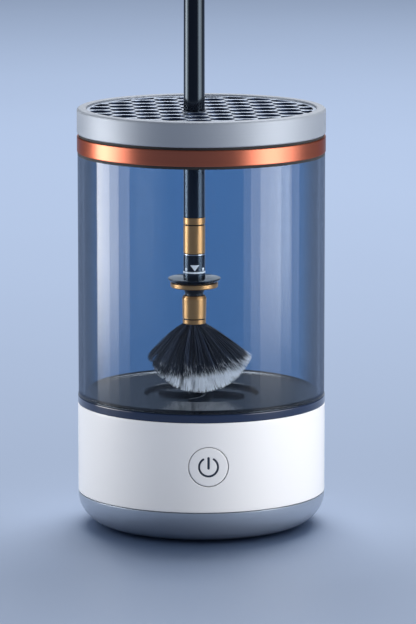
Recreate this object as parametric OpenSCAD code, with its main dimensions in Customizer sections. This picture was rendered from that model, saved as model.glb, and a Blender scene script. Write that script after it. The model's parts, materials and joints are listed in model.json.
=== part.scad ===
// Make-up brush cleaner: a motor base, a lift-off water tank with a magnetically driven
// pulsator, a lift-off honeycomb lid, and a spinning brush whose handle stands in a lid hole.
// Origin: centre of the underside, on the surface it stands on. +Z up, front towards -Y.

/* [Body] */
// Outer diameter of base, tank and lid
body_d = 115; // [112:0.5:118]
// Height of the table above the datum plane from which every other height here is measured
table_z = 3.7; // [3.5:0.1:3.9]
// Height of the underside of the bottom pan above the table
foot_h = 1.2; // [1:0.1:1.4]
// Height of the seam between bottom pan and housing
seam_z = 20; // [19.5:0.1:20.5]
// Height of the top of the white housing
housing_top_z = 61.6; // [61.2:0.1:62]
// Wall thickness of the plastic shells
wall = 2.4; // [2.2:0.1:2.6]
// Corner radius of the bottom pan
pan_corner_r = 14.5; // [14:0.1:14.6]

/* [Button] */
// Height of the button centre
button_z = 41.4; // [40:0.1:42]
// Diameter of the button cap
button_d = 17.9; // [17:0.1:18]
// Gap around the button cap
button_gap = 0.3; // [0.2:0.05:0.4]
// Travel of the button
button_travel = 1; // [0.8:0.1:1]

/* [Tank] */
// Height of the tank seat on the base
seat_z = 65.4; // [65.2:0.1:65.6]
// Height of the lower edge of the clear cylinder
glass_z0 = 66; // [65.9:0.1:66.2]
// Height of the lower edge of the copper band
band_z0 = 178.8; // [178:0.1:179.5]
// Height of the upper edge of the clear cylinder and the copper band
glass_z1 = 186.2; // [186:0.1:186.4]
// Wall thickness of the clear cylinder
glass_wall = 2.8; // [2.6:0.1:3]
// Diameter of the cup that the pulsator turns in
cup_d = 53; // [52:0.5:53]

/* [Lid] */
// Height of the underside of the lid ring
lid_z0 = 187.4; // [187.3:0.1:187.6]
// Height of the top of the lid ring
lid_z1 = 199.1; // [198.6:0.1:199.6]
// Radial width of the lid ring seen from above
lid_rim_w = 4.5; // [4:0.1:5]
// Distance between the centres of neighbouring grid holes
grid_pitch = 12.6; // [12.4:0.1:12.8]
// Diameter of a grid hole
grid_hole_d = 10.6; // [10.5:0.05:10.7]
// Thickness of the grid
grid_t = 6; // [5:0.5:6]

/* [Brush] */
// Height of the lowest bristle tips
tip_z = 67.5; // [67.3:0.1:68]
// Height of the lower edge of the ferrule
ferrule_z = 99.4; // [99:0.1:100]
// Height of the top of the splash disc
disc_z = 121.2; // [121:0.1:121.4]
// Height of the lower edge of the gold handle collar
collar_z = 132.2; // [132:0.1:132.4]
// Height of the lower end of the bare handle
handle_z0 = 149.1; // [149:0.1:149.5]
// Height of the top of the handle
handle_z1 = 262; // [255:1:265]
// Diameter of the splash disc
disc_d = 24.4; // [24:0.1:25]
// Diameter of the bristle fan
fan_d = 49.6; // [48:0.1:50]

/* [Hidden] */
$fn = 96;

e = 0.1;                                  // overlap of cutting tools
body_r = body_d / 2;
seam_gap = 0.3;                           // shadow line between pan and housing
lap = 0.15;                               // gap between a spigot and the wall round it

// base
pan_top = seam_z - seam_gap / 2;
pan_z0 = table_z + foot_h;
pan_floor = pan_z0 + wall;
pan_corner_z = pan_z0 + pan_corner_r;
housing_z0 = seam_z + seam_gap / 2;
housing_r = body_r - wall;
spigot_r = housing_r - lap;
foot_r = 5.5;
foot_circle = 31;
foot_sunk = 0.8;
column_circle = 36;
column_r = 4.2;
column_z0 = pan_floor + 4.3;
head_seat = pan_z0 + 3;
screw_r = 1.5;

// deck
recess_r = body_r - 2.3;
recess_z = 61.9;
deck_t = 2;
well_r = cup_d / 2 + 4.5;
well_z = 56.3;
well_t = 1.6;
post_circle = 28;
post_r = 3.2;
post_z0 = 48.4;

// motor
motor_r = 17.5;
motor_z0 = 24.6;
motor_z1 = 46.4;
can_t = 1.3;
shaft_r = 1.5;
running = 0.05;                           // radial clearance of a running fit
bearing_r = 3.5;
boss_r = 6;
rotor_r = 21.5;
rotor_z0 = 50.2;
rotor_z1 = 54;
magnet_r = 4;
magnet_h = 3;
magnet_circle = 15;

// battery
cell_r = 7.2;
cell_l = 50;
cell_z = pan_floor + 0.2 + cell_r;

// button
button_r = button_d / 2;
bore_r = button_r + button_gap;
flange_r = 10.6;
flange_y = -53.6;                         // front face of the button flange
flange_t = 1.2;
stem_r = 2.6;
stem_end_y = -47.9;
plunger_y = stem_end_y + button_travel + 0.05;
guide_r = 12.6;
seat_y = -47.4;                           // spring seat at the back of the button guide
seat_t = 0.9;
symbol_r = 4.75;
symbol_w = 0.93;
symbol_depth = 0.4;
board_y = -42.1;
board_t = 1.6;
board_screw_x = 14;

// charging port
port_z = 30;
port_w = 8.94;
port_h = 3.26;

// tank
glass_r = body_r - 0.3;
glass_in_r = glass_r - glass_wall;
glass_neck_r = body_r - 1.2;
floor_z = glass_z0;
floor_t = 2;
floor_bottom = 62.3;
cup_r = cup_d / 2;
cup_floor = 58.6;
cup_t = 1.8;
pin_r = 2;
pulsator_r = cup_r - 1.1;
pulsator_z0 = 59;
pulsator_hub_top = 66.2;
vane_top = 66;

// lid
lid_in_r = body_r - lid_rim_w;
lid_spigot_r = glass_in_r - 0.4;
lid_spigot_z = 181;
oring_z = 184;
oring_r = 0.75;
oring_groove = 1.25;
ledge_r = lid_in_r - 1.4;
grid_top = lid_z1 - 0.9;
grid_z0 = grid_top - grid_t;
grid_r = lid_in_r - 0.05;
hole_r = grid_hole_d / 2;
lip = 0.8;                                // width and depth of the rounded hole lips
cell_limit_r = grid_r - 1.5;              // holes at the edge are cut off on this circle
row_step = grid_pitch * sqrt(3) / 2;
least_cell = 2.5;                         // how far a hole reaches past the circle, at least
// centres of the holes: columns along Y, every other one shifted by half a pitch
grid_points = [
    for (i = [-6 : 5], j = [-5 : 4])
        let (
            x = (i + 2 / 3) * row_step,
            y = (j + (abs(i) % 2) / 2) * grid_pitch
        )
        if (norm([x, y]) < cell_limit_r + hole_r - least_cell) [x, y]
];

// brush, on the axis of a hole next to the centre
brush_x = -row_step / 3;
brush_y = -grid_pitch / 2;
rod_r0 = 5;
rod_r1 = 4.8;
collar_r = 5.05;
sleeve_r = 5.1;
core_r = 3.8;
spindle_r = 1.5;
spindle_head_r = 2.6;
ferrule_top = 112.8;
neck_r = 4.2;
washer_t = 0.65;
washer_top = collar_z - 0.05;
sleeve_top = washer_top - washer_t;
mark_depth = 0.3;
fan_r = fan_d / 2;
fan_edge_z = 85;                          // height of the widest part of the fan
fan_rise = fan_edge_z - tip_z;
tip_sphere_r = (fan_r * fan_r + fan_rise * fan_rise) / (2 * fan_rise);

// ---------- shared shapes ----------

// tube or, with r_in 0, a disc
module ring(r_out, r_in, z0, z1) {
    translate([0, 0, z0])
        difference() {
            cylinder(r = r_out, h = z1 - z0);
            if (r_in > 0)
                translate([0, 0, -e])
                    cylinder(r = r_in, h = z1 - z0 + 2 * e);
        }
}

// ring with both outer edges chamfered
module edged_ring(r_out, r_in, z0, z1, edge) {
    rotate_extrude()
        polygon([
            [r_in, z0], [r_out - edge, z0], [r_out, z0 + edge],
            [r_out, z1 - edge], [r_out - edge, z1], [r_in, z1]
        ]);
}

// cylinder along Y from y0 to y1 at height z
module y_rod(r, y0, y1, z = 0) {
    translate([0, y0, z])
        rotate([-90, 0, 0])
            cylinder(r = r, h = y1 - y0);
}

// copies on a circle
module around(count, radius, start = 0) {
    for (i = [0 : count - 1])
        rotate([0, 0, start + i * 360 / count])
            translate([radius, 0, 0])
                children();
}

module at_brush() {
    translate([brush_x, brush_y, 0])
        children();
}

// screw with its head down, its head's underside at z
module screw(z, r, length, head_r, head_h) {
    difference() {
        union() {
            translate([0, 0, z])
                cylinder(r = r, h = length);
            translate([0, 0, z - head_h])
                cylinder(r = head_r, h = head_h);
        }
        for (turn = [0, 90])
            rotate([0, 0, turn])
                translate([-head_r * 0.6, -0.35, z - head_h - e])
                    cube([head_r * 1.2, 0.7, head_h * 0.55 + e]);
    }
}

// direction of a wire at one of its points
function along(points, i) =
    let (d = points[min(i + 1, len(points) - 1)] - points[max(i - 1, 0)])
        d / norm(d);

// round wire through a list of points
module wire(points, r, sides = 8) {
    count = len(points);
    skin_points = [
        for (i = [0 : count - 1])
            let (
                t = along(points, i),
                side = cross(t, [0.3, 0.2, 1]),
                u = side / norm(side),
                v = cross(t, u)
            )
                for (k = [0 : sides - 1])
                    points[i] + r * (cos(k * 360 / sides) * u + sin(k * 360 / sides) * v)
    ];
    skin = [
        for (i = [0 : count - 2], k = [0 : sides - 1])
            let (n = (k + 1) % sides)
                [i * sides + n, i * sides + k, (i + 1) * sides + k, (i + 1) * sides + n]
    ];
    first = [for (k = [0 : sides - 1]) k];
    last = [for (k = [sides - 1 : -1 : 0]) (count - 1) * sides + k];
    polyhedron(skin_points, concat([first], skin, [last]));
}

// flat shape with round ends, width w and height h, extruded along Y
module slot_y(w, h, y0, y1, z) {
    translate([0, y1, z])
        rotate([90, 0, 0])
            linear_extrude(y1 - y0) {
                square([w - h, h], center = true);
                for (side = [-1, 1])
                    translate([side * (w - h) / 2, 0])
                        circle(d = h);
            }
}

// ---------- base ----------

// half section of a pan with a corner radius, top at z1
module pan_section(r, corner, z0, z1) {
    square_z = z0 + corner;
    translate([0, z0])
        square([r - corner, z1 - z0]);
    translate([0, square_z])
        square([r, z1 - square_z]);
    intersection() {
        translate([r - corner, square_z])
            circle(r = corner);
        translate([0, z0])
            square([r, corner + e]);
    }
}

module base_pan() {
    color("slategray")
        difference() {
            union() {
                rotate_extrude()
                    difference() {
                        pan_section(body_r, pan_corner_r, pan_z0, pan_top);
                        pan_section(body_r - wall, pan_corner_r - wall, pan_floor, pan_top + e);
                    }
                ring(spigot_r, spigot_r - 1.9, pan_corner_z - 5, housing_z0 + 2.4);
                around(4, column_circle, 45)
                    ring(5.4, 0, pan_floor - e, column_z0 - 0.1);
            }
            around(4, column_circle, 45)
                ring(3.2, 0, 0, head_seat);
            around(4, column_circle, 45)
                ring(screw_r + 0.15, 0, head_seat - e, column_z0);
            around(4, foot_circle)
                ring(foot_r + 0.1, 0, 0, pan_z0 + foot_sunk);
        }
}

module foot_pads() {
    color("dimgray")
        around(4, foot_circle)
            rotate_extrude()
                polygon([
                    [0, table_z], [foot_r - 0.6, table_z], [foot_r, table_z + 0.6],
                    [foot_r, pan_z0 + foot_sunk], [0, pan_z0 + foot_sunk]
                ]);
}

module base_housing() {
    post_y = -body_r + 3;                 // front ends of the board posts, inside the wall
    color("white")
        difference() {
            union() {
                edged_ring(body_r, housing_r, housing_z0, housing_top_z, 0.25);
                intersection() {
                    y_rod(guide_r, -body_r + 1, seat_y + seat_t, button_z);
                    ring(body_r - 0.5, 0, housing_z0, housing_top_z);
                }
                intersection() {
                    for (side = [-1, 1])
                        translate([side * board_screw_x, 0, 0])
                            y_rod(2.4, post_y, board_y, button_z);
                    ring(body_r - 1, 0, housing_z0, housing_top_z);
                }
                for (side = [-1, 1])
                    translate([side * 7 - 1, 44, port_z - 5.6])
                        cube([2, housing_r - 44.5, 2]);
                intersection() {
                    translate([-9, 50, port_z - 5.6])
                        cube([18, 8, 2]);
                    ring(body_r - 0.5, 0, 0, housing_top_z);
                }
            }
            y_rod(bore_r, -body_r - e, flange_y, button_z);
            y_rod(flange_r + 0.3, flange_y - 0.05, seat_y, button_z);
            y_rod(stem_r + 0.5, seat_y - e, seat_y + seat_t + e, button_z);
            for (side = [-1, 1])
                translate([side * board_screw_x, 0, 0])
                    y_rod(0.85, board_y - 6, board_y + e, button_z);
            slot_y(port_w + 0.6, port_h + 0.6, 46, body_r + 1, port_z);
        }
}

module base_deck() {
    rim_edge = 0.4;
    color("midnightblue")
        difference() {
            union() {
                rotate_extrude()
                    polygon([
                        [0, well_z - well_t], [well_r + deck_t, well_z - well_t],
                        [well_r + deck_t, recess_z - deck_t], [spigot_r - 2, recess_z - deck_t],
                        [spigot_r - 2, 55], [spigot_r, 55], [spigot_r, housing_top_z],
                        [body_r - rim_edge / 2, housing_top_z], [body_r, housing_top_z + rim_edge / 2],
                        [body_r, seat_z - rim_edge], [body_r - rim_edge, seat_z],
                        [recess_r, seat_z], [recess_r, recess_z],
                        [well_r, recess_z], [well_r, well_z], [0, well_z]
                    ]);
                around(4, column_circle, 45)
                    ring(column_r, 0, column_z0, recess_z - 1);
                around(3, post_circle, 30)
                    ring(post_r, 0, post_z0, well_z - 0.5);
            }
            around(4, column_circle, 45)
                ring(screw_r + running, 0, column_z0 - e, column_z0 + 13);
            around(3, post_circle, 30)
                ring(1.05, 0, post_z0 - e, post_z0 + 5);
        }
}

module base_screws() {
    color("silver")
        around(4, column_circle, 45)
            screw(head_seat, screw_r, 15, 2.9, 2);
}

// ---------- electronics ----------

module circuit_board() {
    color("darkgreen")
        difference() {
            translate([-17, board_y, 28])
                cube([34, board_t, 26]);
            for (side = [-1, 1])
                translate([side * board_screw_x, 0, 0])
                    y_rod(1.1, board_y - e, board_y + board_t + e, button_z);
        }
}

module board_components() {
    back = board_y + board_t;
    color("black") {
        translate([-5, back, 44])
            cube([10, 1.4, 7]);
        translate([-10, back, 30])
            cube([7, 4.6, 4]);
        translate([4.5, back, 30])
            cube([7, 4.6, 4]);
        for (x = [-4, -1.5, 1])
            translate([x, back, 38.6])
                cube([1, 0.6, 2]);
    }
}

module board_screws() {
    color("silver")
        for (side = [-1, 1])
            translate([side * board_screw_x, board_y + board_t, button_z]) {
                y_rod(0.8, -6, 0);
                y_rod(1.7, 0, 1.2);
            }
}

module tact_switch() {
    color("gray") {
        translate([-3, board_y - 3.6, button_z - 3])
            cube([6, 3.6, 6]);
        y_rod(1.7, plunger_y, board_y - 3.5, button_z);
    }
}

// points of a coil along +Y, one ring of section points per step
function coil_ring(turn, height, coil_r, wire_r, sides) = [
    for (k = [0 : sides - 1])
        let (a = k * 360 / sides, r = coil_r + wire_r * cos(a))
            [r * cos(turn), height + wire_r * sin(a), r * sin(turn)]
];

// coil spring of round wire along Y, starting at y = wire_r
module coil_y(coil_r, wire_r, length, turns, steps, sides) {
    count = turns * steps;
    pitch = (length - 2 * wire_r) / count;
    points = [
        for (i = [0 : count])
            each coil_ring(i * 360 / steps, wire_r + i * pitch, coil_r, wire_r, sides)
    ];
    skin = [
        for (i = [0 : count - 1], k = [0 : sides - 1])
            let (n = (k + 1) % sides)
                [i * sides + k, i * sides + n, (i + 1) * sides + n, (i + 1) * sides + k]
    ];
    first = [for (k = [sides - 1 : -1 : 0]) k];
    last = [for (k = [0 : sides - 1]) count * sides + k];
    polyhedron(points, concat([first], skin, [last]));
}

// drawn at its length with the button pressed, standing on the seat of the guide
module button_spring() {
    length = seat_y - flange_y - flange_t - button_travel - 0.1;
    color("silver")
        translate([0, seat_y - length, button_z])
            coil_y(4.6, 0.35, length, 4, 20, 8);
}

module battery_cell() {
    color("royalblue")
        translate([-cell_l / 2, 0, cell_z])
            rotate([0, 90, 0]) {
                cylinder(r = cell_r, h = cell_l - 1.5);
                cylinder(r = 3, h = cell_l);
            }
}

module battery_cradle() {
    color("black")
        difference() {
            translate([-cell_l / 2 - 2, -cell_r - 2.2, pan_floor])
                cube([cell_l + 4, 2 * cell_r + 4.4, 9]);
            translate([-cell_l / 2 - 0.3, -cell_r - 0.2, pan_floor - e])
                cube([cell_l + 0.6, 2 * cell_r + 0.4, 9 + 2 * e]);
            for (side = [-1, 1])
                translate([side * 14 - 5, -cell_r - 3, pan_floor + 4])
                    cube([10, 2 * cell_r + 6, 6]);
        }
}

module battery_leads() {
    color("red") {
        wire([
            [-25, -3, 17.2], [-25.8, -3, 17.2], [-26.5, -4, 17.3], [-26.5, -9, 17.8], [-22, -13.5, 19],
            [-13, -30, 21], [-7.6, -33, 27], [-7.6, -34.2, 31.5], [-7.6, -34.9, 32], [-7.6, -35.9, 32]
        ], 0.7);
        wire([
            [23.5, -3.2, 17.2], [25.8, -3.2, 17.2], [26.5, -4, 17.3], [26.5, -9, 17.8], [22, -13.5, 18.5],
            [13, -30, 19], [-5.4, -33, 25], [-5.4, -34.2, 31.5], [-5.4, -34.9, 32], [-5.4, -35.9, 32]
        ], 0.7);
    }
}

module motor_leads() {
    color("orange")
        for (side = [-1, 1])
            wire([
                [side * 3, -14, 20.9], [5 + side * 2, -22, 21.5],
                [8 + side * 1.6, -32, 27], [8 + side * 1.6, -34.2, 31.5],
                [8 + side * 1.6, -34.9, 32], [8 + side * 1.6, -35.9, 32]
            ], 0.6);
}

module charge_port() {
    color("silver")
        difference() {
            slot_y(port_w, port_h, 48.5, body_r - 0.8, port_z);
            slot_y(port_w - 0.6, port_h - 0.6, 49.3, body_r, port_z);
        }
}

module charge_tongue() {
    color("black")
        translate([-3.4, 49.3, port_z - 0.35])
            cube([6.8, 5.6, 0.7]);
}

module charge_board() {
    top = port_z - port_h / 2;
    color("darkgreen")
        translate([-9, 44.5, top - 1.6])
            cube([18, 9.5, 1.6]);
}

// ---------- motor ----------

module motor_can() {
    color("silver")
        difference() {
            rotate_extrude()
                polygon([
                    [bearing_r, motor_z1 - 2.4], [boss_r, motor_z1 - 2.4],
                    [boss_r, motor_z1 - can_t], [motor_r - can_t, motor_z1 - can_t],
                    [motor_r - can_t, motor_z0], [motor_r, motor_z0],
                    [motor_r, motor_z1], [boss_r, motor_z1],
                    [boss_r, motor_z1 + 1.9], [bearing_r, motor_z1 + 1.9]
                ]);
            around(2, 11)
                ring(1.05, 0, motor_z1 - can_t - e, motor_z1 + e);
        }
}

module motor_endcap() {
    color("dimgray")
        difference() {
            union() {
                ring(motor_r, 0, motor_z0 - 1.8, motor_z0);
                ring(motor_r - can_t, 0, motor_z0 - e, motor_z0 + 1.4);
            }
            ring(bearing_r, 0, motor_z0 - 1.3, motor_z0 + 2);
        }
}

module motor_magnets() {
    color("darkslategray")
        for (half = [0, 180])
            rotate([0, 0, half + 25])
                rotate_extrude(angle = 130)
                    translate([12.6, 28])
                        square([motor_r - can_t - 12.6, 15]);
}

module motor_bearings() {
    color("goldenrod") {
        ring(bearing_r, shaft_r + running, motor_z0 - 1.3, motor_z0 + 1.4);
        ring(bearing_r, shaft_r + running, motor_z1 - 2.2, motor_z1 + 1.8);
    }
}

module motor_terminals() {
    color("goldenrod")
        for (side = [-1, 1])
            translate([side * 3 - 1, -13.3, motor_z0 - 4.4])
                cube([2, 0.6, 2.6]);
}

module motor_bracket() {
    color("silver")
        translate([0, 0, motor_z1])
            linear_extrude(2)
                difference() {
                    union() {
                        circle(r = 19);
                        for (i = [0 : 2])
                            rotate(30 + i * 120) {
                                translate([0, -4.4])
                                    square([post_circle, 8.8]);
                                translate([post_circle, 0])
                                    circle(r = 4.4);
                            }
                    }
                    circle(r = boss_r + 0.05);
                    for (i = [0 : 2])
                        rotate(30 + i * 120)
                            translate([post_circle, 0])
                                circle(r = 1.3);
                    for (side = [-1, 1])
                        translate([side * 11, 0])
                            circle(r = 1.3);
                }
}

module bracket_screws() {
    color("silver")
        around(3, post_circle, 30)
            screw(motor_z1, 1, 6.5, 2.2, 1.5);
}

module motor_screws() {
    color("silver")
        around(2, 11)
            translate([0, 0, 2 * motor_z1 + 2])
                mirror([0, 0, 1])
                    screw(motor_z1, 1, 3.6, 2.1, 1.1);
}

module motor_shaft() {
    color("silver")
        ring(shaft_r, 0, motor_z0 - 1.2, rotor_z1 - 1.5);
}

module motor_armature() {
    color("peru")
        difference() {
            union() {
                ring(11.8, shaft_r, 29, 42);
                ring(4, shaft_r, 26.8, 29);
            }
            around(5, 11.8)
                translate([-4, -1.2, 29 - e])
                    cube([5, 2.4, 13 + 2 * e]);
        }
}

module drive_rotor() {
    color("darkgray")
        difference() {
            union() {
                ring(rotor_r, 0, rotor_z0, rotor_z1);
                ring(5, 0, motor_z1 + 2.3, rotor_z0 + e);
            }
            ring(shaft_r, 0, motor_z1, rotor_z1 - 1.5);
            around(4, magnet_circle)
                ring(magnet_r, 0, rotor_z1 - magnet_h, rotor_z1 + e);
        }
}

module drive_magnets() {
    color("silver")
        around(4, magnet_circle)
            ring(magnet_r, 0, rotor_z1 - magnet_h, rotor_z1);
}

// ---------- button ----------

// power sign seen from the front, centred on 0
module power_sign() {
    difference() {
        circle(r = symbol_r);
        circle(r = symbol_r - symbol_w);
        polygon([[0, 0], [-4, 6], [4, 6]]);
    }
    for (side = [-1, 1])
        translate([side * 0.547 * (symbol_r - symbol_w / 2), 0.837 * (symbol_r - symbol_w / 2)])
            circle(r = symbol_w / 2);
    translate([-0.55, -0.6])
        square([1.1, 4.7]);
    for (y = [-0.6, 4.1])
        translate([0, y])
            circle(r = 0.55);
}

// the power sign as a prism reaching in from the front
module sign_prism(y1) {
    translate([0, y1, button_z])
        rotate([90, 0, 0])
            linear_extrude(body_r + y1 + 1)
                power_sign();
}

module power_button() {
    color("whitesmoke")
        difference() {
            union() {
                intersection() {
                    y_rod(button_r, -body_r, flange_y + e, button_z);
                    ring(body_r, 0, 0, housing_top_z);
                }
                y_rod(flange_r, flange_y, flange_y + flange_t, button_z);
                y_rod(stem_r, flange_y, stem_end_y, button_z);
            }
            intersection() {
                sign_prism(-body_r + 2);
                ring(body_r + 1, body_r - symbol_depth, 0, housing_top_z);
            }
        }
}

module power_symbol() {
    color("darkslategray")
        intersection() {
            sign_prism(-body_r + 2);
            ring(body_r, body_r - symbol_depth, 0, housing_top_z);
        }
}

// ---------- tank ----------

module tank_glass() {
    color("lightsteelblue", 0.4)
        rotate_extrude()
            polygon([
                [glass_in_r, glass_z0], [glass_r, glass_z0],
                [glass_r, band_z0 - 1.2], [glass_neck_r, band_z0 - 1.2],
                [glass_neck_r, glass_z1 - 0.3], [glass_neck_r - 0.3, glass_z1],
                [glass_in_r + 0.3, glass_z1], [glass_in_r, glass_z1 - 0.3]
            ]);
}

module tank_floor() {
    color("darkslateblue")
        difference() {
            rotate_extrude()
                polygon([
                    [0, cup_floor - cup_t], [cup_r + 1.6, cup_floor - cup_t],
                    [cup_r + 2.1, floor_z - floor_t], [glass_in_r - 2, floor_z - floor_t],
                    [glass_in_r - 2, floor_bottom], [glass_in_r, floor_bottom],
                    [glass_in_r, floor_z + 1.2], [glass_in_r - 0.7, floor_z + 0.35],
                    [glass_in_r - 1.6, floor_z], [cup_r + 0.4, floor_z],
                    [cup_r, floor_z - 0.4], [cup_r, cup_floor], [0, cup_floor]
                ]);
            ring(pin_r, 0, cup_floor - 1.2, cup_floor + e);
        }
}

module tank_foot_ring() {
    color("black")
        edged_ring(body_r - 0.2, glass_in_r, seat_z, glass_z0, 0.12);
}

module pulsator_pin() {
    color("silver")
        ring(pin_r, 0, cup_floor - 1.2, pulsator_hub_top + 0.15);
}

module pin_cap() {
    z0 = pulsator_hub_top + 0.15;
    color("black")
        rotate_extrude()
            polygon([[0, z0], [3.6, z0], [3.6, z0 + 0.25], [3, z0 + 0.55], [0, z0 + 0.55]]);
}

module band_gasket() {
    color("black")
        ring(glass_r, glass_neck_r, band_z0 - 1.2, band_z0);
}

module copper_band() {
    color("peru")
        edged_ring(body_r, glass_neck_r, band_z0, glass_z1, 0.3);
}

module vane() {
    // a low curved rib from the hub to the rim of the disc
    translate([6, -13.5, pulsator_hub_top - 2.6])
        rotate([0, 0, 28])
            rotate_extrude(angle = 78)
                translate([14.5, 0])
                    polygon([[-1.3, 0], [1.3, 0], [0.6, 2.4], [-0.6, 2.4]]);
}

module pulsator() {
    disc_z1 = pulsator_hub_top - 2;
    color("slateblue")
        difference() {
            union() {
                rotate_extrude()
                    polygon([
                        [3.2, pulsator_z0], [20, pulsator_z0], [20, 62.6],
                        [pulsator_r - 0.4, 62.6], [pulsator_r, 63], [pulsator_r, disc_z1 - 0.4],
                        [pulsator_r - 0.4, disc_z1], [7, disc_z1], [5, pulsator_hub_top],
                        [3.2, pulsator_hub_top]
                    ]);
                intersection() {
                    for (i = [0 : 3])
                        rotate([0, 0, i * 90])
                            vane();
                    ring(pulsator_r - 0.6, 4.2, pulsator_z0, vane_top);
                }
            }
            around(4, magnet_circle)
                ring(magnet_r, 0, pulsator_z0 - e, pulsator_z0 + magnet_h);
        }
}

module pulsator_bush() {
    color("ivory")
        ring(3.2, pin_r + running, pulsator_z0, pulsator_hub_top);
}

module pulsator_magnets() {
    color("silver")
        around(4, magnet_circle)
            ring(magnet_r, 0, pulsator_z0, pulsator_z0 + magnet_h);
}

// ---------- lid ----------

module lid_rim() {
    top_edge = 1.4;
    low_edge = 0.7;
    inner_edge = 0.6;
    color("darkgray")
        rotate_extrude()
            difference() {
                union() {
                    translate([ledge_r, lid_z0])
                        square([body_r - ledge_r - top_edge, lid_z1 - lid_z0]);
                    translate([ledge_r, lid_z0 + low_edge])
                        square([body_r - ledge_r, lid_z1 - lid_z0 - low_edge - top_edge]);
                    translate([body_r - top_edge, lid_z1 - top_edge])
                        circle(r = top_edge);
                    translate([body_r - low_edge, lid_z0 + low_edge])
                        circle(r = low_edge);
                    translate([body_r - top_edge - 0.5, lid_z0])
                        square([top_edge + 0.5 - low_edge, low_edge + e]);
                    translate([ledge_r, lid_spigot_z])
                        square([lid_spigot_r - ledge_r, lid_z0 - lid_spigot_z + e]);
                }
                translate([ledge_r - e, grid_z0])
                    square([lid_in_r - ledge_r + e, lid_z1]);
                polygon([
                    [lid_in_r - e, lid_z1 - inner_edge], [lid_in_r, lid_z1 - inner_edge],
                    [lid_in_r + inner_edge, lid_z1], [lid_in_r + inner_edge, lid_z1 + e],
                    [lid_in_r - e, lid_z1 + e]
                ]);
                translate([lid_spigot_r - oring_groove, oring_z - 1])
                    square([oring_groove + e, 2]);
            }
}

module lid_grid() {
    color("gainsboro")
        difference() {
            ring(grid_r, 0, grid_z0, grid_top);
            intersection() {
                for (p = grid_points)
                    translate([p[0], p[1], grid_z0 - e]) {
                        cylinder(r = hole_r, h = grid_t + 2 * e);
                        translate([0, 0, grid_t - lip + e])
                            cylinder(r1 = hole_r, r2 = hole_r + lip, h = lip);
                    }
                ring(cell_limit_r, 0, grid_z0 - 2 * e, grid_top + 2 * e);
            }
        }
}

module lid_seal() {
    color("black")
        ring(glass_neck_r + 0.3, lid_spigot_r + 0.05, glass_z1, lid_z0);
}

module lid_oring() {
    color("black")
        translate([0, 0, oring_z])
            rotate_extrude()
                translate([glass_in_r - 0.1 - oring_r, 0])
                    circle(r = oring_r);
}

// ---------- brush handle ----------

module handle_rod() {
    cap_z = handle_z1 - rod_r1;
    color("black")
        at_brush()
            rotate_extrude() {
                polygon([
                    [spindle_r, collar_z], [core_r + 0.1, collar_z], [core_r + 0.1, handle_z0],
                    [rod_r0 - 0.15, handle_z0], [rod_r0, handle_z0 + 0.15],
                    [rod_r1, cap_z], [0, cap_z], [0, 145], [spindle_r, 145]
                ]);
                intersection() {
                    translate([0, cap_z])
                        circle(r = rod_r1);
                    translate([0, cap_z - e])
                        square([rod_r1, rod_r1 + 2 * e]);
                }
            }
}

module handle_collar() {
    groove_z = 145.4;
    edge = 0.35;
    color("goldenrod")
        at_brush()
            rotate_extrude()
                polygon([
                    [core_r + 0.1, collar_z], [collar_r - edge, collar_z],
                    [collar_r, collar_z + edge], [collar_r, groove_z],
                    [collar_r - 0.75, groove_z], [collar_r - 0.75, groove_z + 0.55],
                    [collar_r, groove_z + 0.55], [collar_r, handle_z0 - edge],
                    [collar_r - edge, handle_z0], [core_r + 0.1, handle_z0]
                ]);
}

module swivel_pin() {
    color("silver")
        at_brush() {
            ring(spindle_r, 0, 117.5, 145);
            ring(spindle_head_r, 0, 116.2, 117.6);
        }
}

// ---------- brush head ----------

module thrust_washer() {
    color("silver")
        at_brush()
            edged_ring(collar_r, spindle_r + 0.1, sleeve_top, washer_top, 0.15);
}

// fill-level mark seen from the front: a line with a triangle standing on its point
module level_sign() {
    translate([-6, 123.2])
        square([12, 0.8]);
    polygon([[0, 124.4], [2.1, 127.2], [-2.1, 127.2]]);
    for (side = [-1, 1])
        translate([side * 3.9 - 0.4, 124.4])
            square([0.8, 1.4]);
}

module level_prism() {
    rotate([90, 0, 0])
        linear_extrude(sleeve_r + 1)
            level_sign();
}

module mark_sleeve() {
    color("black")
        at_brush()
            difference() {
                edged_ring(sleeve_r, core_r, disc_z, sleeve_top, 0.2);
                intersection() {
                    level_prism();
                    ring(sleeve_r + 1, sleeve_r - mark_depth, disc_z, sleeve_top);
                }
            }
}

module level_mark() {
    color("white")
        at_brush()
            intersection() {
                level_prism();
                ring(sleeve_r, sleeve_r - mark_depth, disc_z, sleeve_top);
            }
}

module splash_disc() {
    disc_r = disc_d / 2;
    color("black")
        at_brush()
            rotate_extrude()
                polygon([
                    [4.6, disc_z], [6.4, disc_z - 0.05], [disc_r - 0.5, disc_z - 0.35],
                    [disc_r, disc_z - 0.6], [disc_r, disc_z - 0.9],
                    [disc_r - 0.9, disc_z - 1.9], [disc_r - 1.6, disc_z - 2.7],
                    [4.6, disc_z - 2.7]
                ]);
}

module disc_ring() {
    color("goldenrod")
        at_brush()
            edged_ring(11, 7, disc_z - 4.8, disc_z - 2.7, 0.4);
}

module head_core() {
    flange_z = disc_z - 4.8;
    color("black")
        at_brush()
            rotate_extrude()
                polygon([
                    [2.8, 106.5], [neck_r, 106.5], [neck_r, 113.6], [4.8, 115],
                    [5.4, flange_z], [7, flange_z], [7, disc_z - 2.7], [4.6, disc_z - 2.7],
                    [4.6, disc_z], [core_r, disc_z], [core_r, sleeve_top],
                    [2.6, sleeve_top], [2.6, 119], [2.8, 119]
                ]);
}

module swivel_bush() {
    color("goldenrod")
        at_brush()
            ring(2.6, spindle_r + running, 119, sleeve_top);
}

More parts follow.
